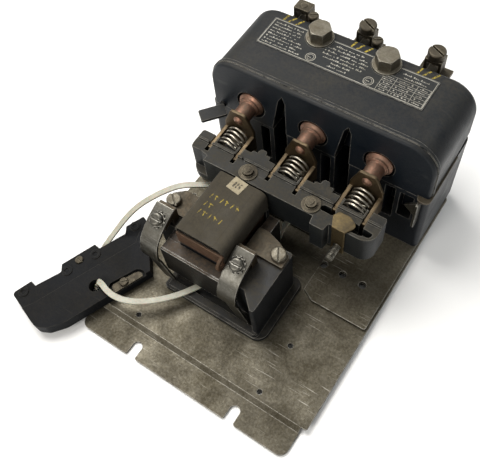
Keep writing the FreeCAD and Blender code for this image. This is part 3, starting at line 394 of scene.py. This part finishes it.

# %% [markdown]
# ## Steel
# The back plate is bare rolled steel, stained grey-brown and full of pale scratches. The clips,
# bolts and washers were plated and stay brighter. The magnet iron is nearly black with brown dust.

# %% Steel finishes
# On these steels the pale edge colour is rubbed metal and, in part, a painted edge highlight.
plate_steel = finish(
    "plate_steel", (0.15, 0.137, 0.106), (0.062, 0.053, 0.034), (0.42, 0.6), METAL, dusty=0.4,
    dust_patch=22, scratched=0.6, scratch_colour=(0.42, 0.4, 0.35), edge_amount=1.0,
    edge_colour=(0.55, 0.53, 0.47), stain_size=34, bump=0.3)
bright_steel = finish(
    "plated_steel", (0.14, 0.136, 0.12), (0.085, 0.08, 0.066), (0.28, 0.45), METAL, dusty=0.18,
    edge_amount=0.8, edge_colour=(0.5, 0.48, 0.43), scratched=0.3, scratch_size=2.5,
    scratch_colour=(0.4, 0.39, 0.35), stain_size=70, bump=0.12)
bolt_steel = finish(
    "bolt_steel", (0.2, 0.185, 0.15), (0.13, 0.112, 0.08), (0.4, 0.6), METAL, dusty=0.3,
    dust_patch=120, edge_amount=0.7, edge_colour=(0.45, 0.43, 0.37), stain_size=110, bump=0.3)
dark_iron = finish(
    "magnet_iron", (0.075, 0.066, 0.05), (0.11, 0.082, 0.052), (0.45, 0.65), METAL, dusty=0.75,
    edge_amount=0.8, edge_colour=(0.3, 0.28, 0.24), stain_size=60, bump=0.25)
yoke_iron = finish(
    "yoke_iron", (0.022, 0.024, 0.027), (0.045, 0.04, 0.034), (0.35, 0.55), METAL, dusty=1.0,
    dust_patch=60, dust_colour=rgb(0.075, 0.052, 0.032), edge_amount=1.0,
    edge_colour=(0.6, 0.59, 0.55), stain_size=60, bump=0.25)
lug_steel = finish(
    "lug_steel", (0.1, 0.085, 0.06), (0.05, 0.042, 0.032), (0.4, 0.6), METAL, dusty=0.4,
    edge_amount=0.8, edge_colour=(0.3, 0.27, 0.2), stain_size=120, bump=0.3)
spring_steel = finish(
    "spring_steel", (0.5, 0.47, 0.4), (0.28, 0.25, 0.2), (0.22, 0.4), METAL, dusty=0.1,
    edge_amount=0.0, stain_size=200, bump=0.08)
print("steel finishes made")

# %% [markdown]
# ## Screw thread
# The adjusting screw's thread is too fine for a mesh that stays light, so the Wave node draws it.
# That node makes twenty bands in two pi metres at a scale of one, and a small helper turns the
# distance from band to band, which a maker would measure, into its scale.

# %% Thread finish
THREAD_PITCH = 0.0009


def bands(tree, pitch, direction, **values):
    """Bands across X or Y, pitch metres apart."""
    scale = 2 * math.pi / (20 * pitch)
    return node(tree, "TexWave", Vector=here_on(tree), Scale=scale, bands_direction=direction,
                **values).outputs["Fac"]


def screw_thread(tree, colour, height):
    """A thread cut round a screw that lies along Y."""
    turns = bands(tree, THREAD_PITCH, "Y", wave_profile="TRI")
    # The grooves are painted dark: painted shade down in the thread.
    groove_shade = span(tree, turns, 0.0, 0.5, 1.0, 0.0)
    cut = blend_colours(tree, groove_shade, colour, rgb(0.03, 0.027, 0.022))
    return cut, sums(tree, "ADD", height, sums(tree, "MULTIPLY", turns, 3.0))


thread_steel = finish(
    "thread_steel", (0.3, 0.29, 0.25), (0.2, 0.19, 0.155), (0.3, 0.45), METAL, dusty=0.2,
    edge_amount=0.3, edge_colour=(0.4, 0.38, 0.33), stain_size=150, bump=0.8, extra=screw_thread)
print("thread finish made")

# %% [markdown]
# ## Copper and brass
# The current-carrying parts are copper that has gone red-brown, and the stirrups are bronze. Where
# they slide or were filed, the bare metal shows, and their pale edge colour is also a painted edge
# highlight.

# %% Copper and brass finishes
copper = finish(
    "tarnished_copper", (0.33, 0.17, 0.115), (0.19, 0.13, 0.095), (0.35, 0.55), METAL, dusty=0.35,
    dust_patch=90, edge_amount=0.85, edge_colour=(0.55, 0.24, 0.16), stain_size=95, bump=0.2)
lead_copper = finish(
    "lead_copper", (0.13, 0.075, 0.048), (0.085, 0.055, 0.036), (0.5, 0.7), METAL, dusty=0.6,
    dust_patch=90, edge_amount=0.6, edge_colour=(0.3, 0.17, 0.11), stain_size=95, bump=0.25)
bronze = finish(
    "stirrup_bronze", (0.15, 0.11, 0.062), (0.1, 0.074, 0.046), (0.35, 0.55), METAL, dusty=0.3,
    edge_amount=0.6, edge_colour=(0.17, 0.13, 0.085), stain_size=90, scratched=0.2, scratch_size=2.0,
    bump=0.18)
brass = finish(
    "strip_brass", (0.13, 0.096, 0.045), (0.07, 0.054, 0.032), (0.4, 0.6), METAL, dusty=0.35,
    edge_amount=0.7, edge_colour=(0.25, 0.19, 0.1), stain_size=80, scratched=0.3, bump=0.15)
print("copper and brass finishes made")

# %% [markdown] ## Crayon marks Three sets of crayon strokes run along the back edge of the contact
# block, one by each terminal. The strokes lean, and say nothing.

# %% Crayon layer
CRAYON = rgb(0.36, 0.27, 0.03)
HOOD_STROKE_WIDTH, HOOD_STROKE_HALF = 0.0008, 0.003
BACK_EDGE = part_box("contact_hood")[1].y - 0.0065
TERMINALS = (-0.05, 0.003, 0.051)
FEET_AND_HEADS = ((-0.006, -0.0047), (-0.002, 0.0012), (0.004, 0.0072))


def crayon(strokes, width, colour_of_mark=CRAYON):
    def layer(tree, colour, height):
        marks = None
        for (x0, y0), (x1, y1) in strokes:
            mark = place_group(tree, stroke, From=(x0, y0, 0.0), To=(x1, y1, 0.0), Width=width)["Mask"]
            marks = mark if marks is None else sums(tree, "MAXIMUM", mark, marks)
        return blend_colours(tree, marks, colour, colour_of_mark), height

    return layer


hood_strokes = []
for middle in TERMINALS:
    for foot, head in FEET_AND_HEADS:
        hood_strokes.append(((middle + foot, BACK_EDGE - HOOD_STROKE_HALF),
                             (middle + head, BACK_EDGE + HOOD_STROKE_HALF)))
print("crayon strokes on the hood:", len(hood_strokes))

# %% [markdown]
# ## Black moulding
# The contact block, crossbar, magnet housing and loose bar are pressed from a hard black compound
# with a blue cast. It is satin where it was pressed against the mould, and brown-grey with dust on
# top. All four share what follows from the compound, and differ in dust and handling.

# %% Moulding finishes
# The grey edge colour of the mouldings is partly rubbing and partly a painted highlight along their edges.
moulding = dict(rough=(0.34, 0.55), metal=NOT_METAL, gloss=0.2, edge_amount=1.0,
                edge_colour=(0.2, 0.19, 0.165), bump=0.2)
hood_black = finish(
    "hood_moulding", (0.004, 0.0065, 0.0105), (0.009, 0.0115, 0.0145), dusty=0.36, dust_patch=26,
    scratched=0.12, scratch_colour=(0.1, 0.1, 0.09), extra=crayon(hood_strokes, HOOD_STROKE_WIDTH),
    **moulding)
base_black = finish(
    "base_moulding", (0.004, 0.006, 0.0095), (0.008, 0.01, 0.0125), dusty=0.35, dust_patch=60, **moulding)
bar_black = finish(
    "crossbar_moulding", (0.005, 0.0065, 0.008), (0.012, 0.013, 0.012), dusty=0.62, dust_patch=70,
    scratched=0.25, scratch_colour=(0.12, 0.115, 0.1), **moulding)
house_black = finish(
    "housing_moulding", (0.004, 0.006, 0.0095), (0.011, 0.0115, 0.012), dusty=0.5, dust_patch=55,
    scratched=0.3, scratch_colour=(0.13, 0.12, 0.1), **moulding)
loose_black = finish(
    "loose_bar_moulding", (0.003, 0.004, 0.006), (0.0085, 0.009, 0.0095), (0.5, 0.75), NOT_METAL,
    dusty=0.22, dust_patch=30, dust_colour=rgb(0.042, 0.036, 0.027), scratched=0.3,
    scratch_colour=(0.05, 0.045, 0.038), gloss=0.1, edge_amount=0.8,
    edge_colour=(0.05, 0.047, 0.04), bump=0.35)
print("moulding finishes made")

# %% [markdown]
# ## Coil tape
# The coil is closed with varnished tape, dull brown with dust. Each turn of tape lies on the one
# before, so it shows as a low step about twelve millimetres from the next, and its threads make a
# fine weave. A saw-shaped wave adds the steps to the bump height, and a thin darker line at each step
# is painted shade. Whoever tested the coil left more crayon marks on its top.

# %% Coil tape
TAPE_PITCH, WEAVE_PITCH = 0.012083, 0.000748
LETTER_PITCH, LETTER_HALF, LETTER_LEAN = 0.0042, 0.0015, 0.0006
FIRST_LETTER = -0.012
ROWS_OF_LETTERS = ((0.006, 6), (-0.001, 2), (-0.008, 5))
ARM_HEIGHT, ARM_DROP = 0.0014, 0.0004
wrap_low, wrap_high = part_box("coil_wrap")
wrap_mid = (wrap_low + wrap_high) / 2
coil_strokes = []
for row, letters in ROWS_OF_LETTERS:
    for count in range(letters):
        x = wrap_mid.x + FIRST_LETTER + LETTER_PITCH * count
        y = wrap_mid.y + row
        lean = -LETTER_LEAN if count % 2 else LETTER_LEAN
        coil_strokes.append(((x, y - LETTER_HALF), (x + lean, y + LETTER_HALF)))
        if count % 2:
            arm = y + ARM_HEIGHT
            coil_strokes.append(((x - 0.0012, arm), (x + 0.0014, arm - ARM_DROP * count)))


def coil_top_layers(tree, colour, height):
    """Overlapping turns of tape along the coil, with painted shade at each step and crayon over them."""
    turns = bands(tree, TAPE_PITCH, "X", wave_profile="SAW", Distortion=0.2)
    weave = bands(tree, WEAVE_PITCH, "Y")
    raised = sums(tree, "ADD", sums(tree, "MULTIPLY", turns, 1.2), sums(tree, "MULTIPLY", weave, 0.35))
    # A thin darker line where each turn of tape steps down: painted shade of the step.
    seam_shade = span(tree, turns, 0.0, 0.06, 0.8, 0.0)
    seam_shaded = blend_colours(tree, seam_shade, colour, rgb(0.02, 0.016, 0.011))
    return crayon(coil_strokes, 0.00045)(tree, seam_shaded, sums(tree, "ADD", raised, height))


coil_tape = finish(
    "coil_tape", (0.04, 0.034, 0.023), (0.026, 0.022, 0.016), (0.6, 0.8), NOT_METAL, dusty=0.6,
    gloss=0.3, dust_patch=45, edge_amount=0.25, edge_colour=(0.16, 0.14, 0.1), stain_size=40,
    bump=0.35, extra=coil_top_layers)
print("coil tape made; coil strokes:", len(coil_strokes))

# %% [markdown]
# ## Coil wire
# At the ends of the coil the winding shows: red-brown enamelled wire, turn beside turn. Its turns are
# a slightly uneven wave in the bump height, a little over a millimetre apart.

# %% Coil wire
WIRE_PITCH = 0.0012083


def wire_turns(tree, colour, height):
    """Turns of enamelled wire, side by side along Y."""
    turns = bands(tree, WIRE_PITCH, "Y", Distortion=0.3)
    return colour, sums(tree, "ADD", height, sums(tree, "MULTIPLY", turns, 2.0))


coil_wire = finish(
    "coil_wire", (0.06, 0.03, 0.018), (0.035, 0.02, 0.014), (0.3, 0.5), NOT_METAL, dusty=0.4,
    edge_amount=0.2, bump=0.4, extra=wire_turns)
print("coil wire made")

# %% [markdown]
# ## Paper and nylon
# The tag is yellowed paper with a smudged mark of three strokes. The tie is natural nylon: light goes
# into it a little, so it gets some subsurface.

# %% Paper and nylon finishes
MARK_GAP, MARK_FOOT, MARK_HEAD, MARK_LEAN, MARK_WIDTH = 0.0022, -0.0016, 0.0014, 0.0004, 0.0009
tag_low, tag_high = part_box("coil_tag")
tag_mid = (tag_low + tag_high) / 2
tag_strokes = []
for step in (-1, 0, 1):
    x = tag_mid.x + step * MARK_GAP
    tag_strokes.append(((x, tag_mid.y + MARK_FOOT), (x + MARK_LEAN, tag_mid.y + MARK_HEAD)))
tag_paper = finish(
    "tag_paper", (0.36, 0.31, 0.21), (0.25, 0.21, 0.135), (0.75, 0.9), NOT_METAL, dusty=0.15,
    edge_amount=0.3, edge_colour=(0.5, 0.45, 0.34), stain_size=150, bump=0.1,
    extra=crayon(tag_strokes, MARK_WIDTH, rgb(0.02, 0.017, 0.014)))
nylon = finish(
    "natural_nylon", (0.42, 0.41, 0.33), (0.33, 0.315, 0.25), (0.35, 0.5), NOT_METAL, dusty=0.12,
    edge_amount=0.0, stain_size=50, bump=0.05)
nylon_inputs = nylon.node_tree.nodes["Principled BSDF"].inputs
nylon_inputs["Subsurface Weight"].default_value = 0.15
nylon_inputs["Subsurface Scale"].default_value = 0.002
print("paper and nylon made")

# %% [markdown]
# ## Rating plate
# The rating plate is etched aluminium. Its field is a dark enamel, not metal, and the print is the
# metal left bare, gone pale and dull, so that it is treated as a light paint.

# %% Rating plate finishes
plate_field = finish(
    "rating_plate_field", (0.012, 0.015, 0.018), (0.026, 0.027, 0.026), (0.5, 0.65), NOT_METAL,
    dusty=0.12, gloss=0.2, dust_patch=60, edge_amount=0.6, edge_colour=(0.4, 0.39, 0.35),
    scratched=0.3, scratch_colour=(0.3, 0.3, 0.28), bump=0.08)
plate_print = finish(
    "rating_plate_print", (0.5, 0.48, 0.42), (0.34, 0.32, 0.26), (0.4, 0.6), NOT_METAL, dusty=0.3,
    dust_patch=90, edge_amount=0.0, stain_size=90, bump=0.1)
print("rating plate finishes made")

# %% [markdown]
# ## Give each part its finish
# Each part came in with a plain colour in its material slot. The table below names the finish that
# takes that slot, and any part that is missed stops the lesson.

# %% Assign finishes
POLES = (1, 2, 3)
FINISHES = {
    plate_steel: ["base_plate", "sub_plate"],
    bright_steel: ["strap_clip_right", "strap_clip_left", "clip_screws", "clip_lock_washers", "right_tab"],
    thread_steel: ["adjusting_screw"],
    bolt_steel: ["hood_bolts", "hood_washers", "core_plate_screws"],
    dark_iron: ["side_plate", "core_plates", "clip_brackets", "armature", "fixed_pole"],
    yoke_iron: ["front_yoke", "core_sides"],
    lug_steel: ["stud_hardware", "line_contacts", "line_lugs", "line_screws", "line_side_posts",
                "load_screws", "loose_bar_screws", "loose_bar_insert"],
    copper: ["load_contacts"] + [part % number for number in POLES
                                 for part in ("plunger_%d", "through_bolt_%d", "bridge_contact_%d")],
    bronze: ["stirrup_%d" % number for number in POLES],
    spring_steel: ["contact_spring_%d" % number for number in POLES],
    lead_copper: ["coil_lead"],
    brass: ["brass_strip", "coil_guide_tube", "push_rod"],
    hood_black: ["contact_hood"],
    base_black: ["contact_base", "left_tab"],
    bar_black: ["crossbar"],
    house_black: ["magnet_housing", "coil_cheeks"],
    loose_black: ["loose_bar"],
    coil_tape: ["coil_wrap"],
    coil_wire: ["coil_winding"],
    tag_paper: ["coil_tag"],
    nylon: ["cable_tie"],
    plate_field: ["nameplate"],
}
finished = set()
for material, names in FINISHES.items():
    for name in names:
        for slot in nodes[name].material_slots:
            slot.material = material
        finished.add(name)
assert finished == set(nodes), sorted(set(nodes) - finished)
print("parts finished:", len(finished))

# %% [markdown]
# ## Print on the rating plate
# The rating plate is printed in bare metal on a dark field: a border, rows of small type, two round
# seals and a table. The type here stands for words and says nothing: rows of short bars. Each bar is
# a grid face, extruded by the thickness of the ink, and each seal is circles bridged to rings.

# %% Print helpers
INK, ABOVE_PLATE = 0.00006, 0.00001
plate_low, plate_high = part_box("nameplate")
top = plate_high.z + ABOVE_PLATE


def raise_faces(mesh, faces):
    """Gives flat faces the thickness of the ink."""
    raised = bmesh.ops.extrude_face_region(mesh, geom=faces)["geom"]
    verts = [item for item in raised if isinstance(item, bmesh.types.BMVert)]
    bmesh.ops.translate(mesh, verts=verts, vec=(0, 0, INK))


def add_bar(mesh, x, y, wide, deep):
    """One printed bar, centred on a point of the plate."""
    shape = Matrix.Translation((x, y, top)) @ Matrix.Diagonal((wide, deep, 1, 1))
    made = bmesh.ops.create_grid(mesh, x_segments=1, y_segments=1, size=0.5, matrix=shape)
    raise_faces(mesh, list({face for vert in made["verts"] for face in vert.link_faces}))


def add_ring(mesh, x, y, inner, outer):
    """A printed ring between two circles."""
    edge_sets = []
    for radius in (inner, outer):
        made = bmesh.ops.create_circle(
            mesh, segments=40, radius=radius, matrix=Matrix.Translation((x, y, top)))
        edge_sets += list({edge for vert in made["verts"] for edge in vert.link_edges})
    raise_faces(mesh, bmesh.ops.bridge_loops(mesh, edges=edge_sets)["faces"])


print("print goes on at height", round(top, 5))

# %% [markdown]
# ### Border
# A thin rule runs round the plate near its edge. Two bolts and their washers cover parts of the rule
# at the back, so there it is drawn in three lengths, between the washers.

# %% Border
MARGIN, RULE = 0.0009, 0.0005
WASHER_RADIUS = 0.0102
print_mesh = bmesh.new()
left, right, front, back = plate_low.x, plate_high.x, plate_low.y, plate_high.y
middle_x, middle_y = (left + right) / 2, (front + back) / 2
half_wide, half_deep = (right - left) / 2 - MARGIN, (back - front) / 2 - MARGIN
washers_low, washers_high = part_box("hood_washers")
add_bar(print_mesh, middle_x, middle_y - half_deep, 2 * half_wide, RULE)
for sign in (-1, 1):
    add_bar(print_mesh, middle_x + sign * half_wide, middle_y, RULE, 2 * half_deep)
for x0, x1 in ((left + MARGIN, washers_low.x),
               (washers_low.x + 2 * WASHER_RADIUS, washers_high.x - 2 * WASHER_RADIUS),
               (washers_high.x, right - MARGIN)):
    add_bar(print_mesh, (x0 + x1) / 2, middle_y + half_deep, x1 - x0, RULE)
print("border:", len(print_mesh.faces), "faces")

# %% [markdown]
# ### Rows of type
# Small type seen from a distance is a row of marks of different widths and heights with gaps between
# words. Chance picks them, from a fixed seed, so that every run prints the same plate. The rows of
# the left block end unevenly, and stop short of the first washer. The middle block is centred.

# %% Rows of type
random.seed(11)
LETTER_WIDTHS, LETTER_HEIGHTS = (0.0006, 0.0009, 0.0011), (0.35, 0.6, 1.0)
LETTER_ROOM, LETTER_GAP, LETTER_FILL = 0.0012, 0.0004, 0.8
WORD_GAP, WORD_CHANCE = 0.0011, 0.18
TALL, MIDDLE_TALL = 0.0014, 0.0014 * 1.15
LEFT_START, LEFT_END, LEFT_RAGGED = 0.003, 0.034, 0.005
LEFT_TOP, LEFT_PITCH, LEFT_ROWS = 0.0036, 0.00275, 8
WASHER_CLEAR, ROW_CLEAR = 0.0005, 0.001
MIDDLE_TOP, MIDDLE_PITCH = 0.004, 0.003
MIDDLE_HALVES = (0.011, 0.0155, 0.0165, 0.0165, 0.0145, 0.008, 0.008)


def type_row(mesh, x0, x1, y, tall):
    """A row of small type: bars as wide as letters, with gaps between words."""
    x = x0
    while x < x1 - LETTER_ROOM:
        if random.random() < WORD_CHANCE:
            x += WORD_GAP
            continue
        wide = random.choice(LETTER_WIDTHS)
        share = random.choice(LETTER_HEIGHTS)
        foot = y + tall * (share - 1) * LETTER_FILL / 2
        add_bar(mesh, x + wide / 2, foot, wide, tall * share * LETTER_FILL)
        x += wide + LETTER_GAP


for row in range(LEFT_ROWS):
    y = back - LEFT_TOP - row * LEFT_PITCH
    end = left + LEFT_END + random.uniform(-LEFT_RAGGED, 0.0)
    if y > washers_low.y - WASHER_CLEAR:
        end = min(end, washers_low.x - ROW_CLEAR)
    type_row(print_mesh, left + LEFT_START, end, y, TALL)
for row, half in enumerate(MIDDLE_HALVES):
    y = back - MIDDLE_TOP - row * MIDDLE_PITCH
    type_row(print_mesh, middle_x - half, middle_x + half, y, MIDDLE_TALL)
print("with rows of type:", len(print_mesh.faces), "faces")

# %% [markdown]
# ### Seals and table
# Two round seals stand below the middle block, each with two rings and a short word. The table at
# the right has four upright rules, six level ones, and a word in every box, under two rows of type.

# %% Seals and table
SEAL_SPREAD, SEAL_HEIGHT = 0.0215, 0.0052
SEAL_RINGS = ((0.0031, 0.0036), (0.0021, 0.0024))
SEAL_TALL, BOX_TALL, HEADING_TALL = 0.0016, 0.0013, 0.0015
UPRIGHT, LEVEL_RULE = 0.0003, 0.00025
UPRIGHTS, LINES = (0.0, 0.27, 0.72, 1.0), 5
BOX_WORDS = ((0.03, 0.25), (0.33, 0.68), (0.78, 0.95))
HEADING_GAP, HEADING_PITCH, HEADING_END = 0.0022, 0.0029, 0.003
table_left, table_right = right - 0.0335, right - 0.0015
table_low, table_high = front + 0.0012, front + 0.0165
width, depth = table_right - table_left, table_high - table_low
for x in (middle_x - SEAL_SPREAD, middle_x + SEAL_SPREAD):
    for inner, outer in SEAL_RINGS:
        add_ring(print_mesh, x, front + SEAL_HEIGHT, inner, outer)
    type_row(print_mesh, x - 0.0015, x + 0.0019, front + SEAL_HEIGHT, SEAL_TALL)
for share in UPRIGHTS:
    add_bar(print_mesh, table_left + width * share, (table_low + table_high) / 2, UPRIGHT, depth)
for line_number in range(LINES + 1):
    y = table_low + depth * line_number / LINES
    add_bar(print_mesh, (table_left + table_right) / 2, y, width, LEVEL_RULE)
    if line_number < LINES:
        for begin, stop in BOX_WORDS:
            type_row(print_mesh, table_left + width * begin, table_left + width * stop,
                     y + 0.0016, BOX_TALL)
for row, indent in enumerate((0.012, 0.010)):
    type_row(print_mesh, table_left + indent, table_right - HEADING_END,
             table_high + HEADING_GAP + row * HEADING_PITCH, HEADING_TALL)
print("with seals and table:", len(print_mesh.faces), "faces")

# %% [markdown]
# ### Keep the print
# A bmesh is a draft. To be seen it becomes a mesh with a finish in its slot, on an object that rides
# on a body of the starter.

# %% Keep the print


def keep_piece(mesh, name, body, material):
    """Turns a bmesh into a piece that rides on a body."""
    bmesh.ops.recalc_face_normals(mesh, faces=mesh.faces)
    data = bpy.data.meshes.new(name)
    mesh.to_mesh(data)
    mesh.free()
    piece = bpy.data.objects.new(name, data)
    bpy.context.scene.collection.objects.link(piece)
    data.materials.append(material)
    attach(piece, body)
    print(name, "has", len(data.polygons), "faces")
    return piece


keep_piece(print_mesh, "rating_plate_print", "frame", plate_print)

# %% [markdown]
# ## Contact springs
# Each pole has a coil spring that shortens when the contacts meet. CAD draws it at its rest length,
# so here it is wound again: a small circle, the wire, is spun about the spring's axis and moved on a
# little at each step. The end turns lie close together, as they do on a real spring.

# %% Wind a spring
WIRE = 0.00085
WIRE_SIDES = 14
END_TURN, OPEN_TURNS, STEPS = 0.75, 3.5, 36
END_PITCH = 2.15 * WIRE
START_ANGLE = math.radians(25)


def wind(mesh, ring, middle, turns, length):
    """Spins the open end of the wire about an axis along Y, and returns its new open end."""
    steps = round(STEPS * turns)
    made = bmesh.ops.spin(mesh, geom=ring, cent=middle, axis=(0, -1, 0), dvec=(0, length / steps, 0),
                          angle=2 * math.pi * turns, steps=steps, use_merge=False, use_duplicate=False)
    return made["geom_last"]


def wind_spring(low, high):
    """A spring with closed end turns that fills the box from low to high along Y."""
    mesh = bmesh.new()
    middle = Vector(((low.x + high.x) / 2, 0, (low.z + high.z) / 2))
    radius = (high.x - low.x) / 2 - WIRE
    turned = Matrix.Rotation(START_ANGLE, 4, "Y") @ Matrix.Translation((radius, 0, 0))
    place = Matrix.Translation((middle.x, low.y + WIRE, middle.z)) @ turned
    made = bmesh.ops.create_circle(mesh, cap_ends=True, segments=WIRE_SIDES, radius=WIRE, matrix=place)
    ring = made["verts"] + list({edge for vert in made["verts"] for edge in vert.link_edges})
    end_length = END_TURN * END_PITCH
    open_length = high.y - low.y - 2 * WIRE - 2 * end_length
    for turns, length in ((END_TURN, end_length), (OPEN_TURNS, open_length), (END_TURN, end_length)):
        ring = wind(mesh, ring, middle, turns, length)
    bmesh.ops.contextual_create(mesh, geom=[item for item in ring if isinstance(item, bmesh.types.BMEdge)])
    for face in mesh.faces:
        face.smooth = len(face.verts) == 4
    return mesh


print("a spring has", END_TURN + OPEN_TURNS + END_TURN, "turns")

# %% Wind three springs
for number in POLES:
    name = "contact_spring_%d" % number
    low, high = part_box(name)
    spring = keep_piece(wind_spring(low, high), "wound_spring_%d" % number, "carriage", spring_steel)
    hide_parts(name)
    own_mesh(spring)

# %% [markdown]
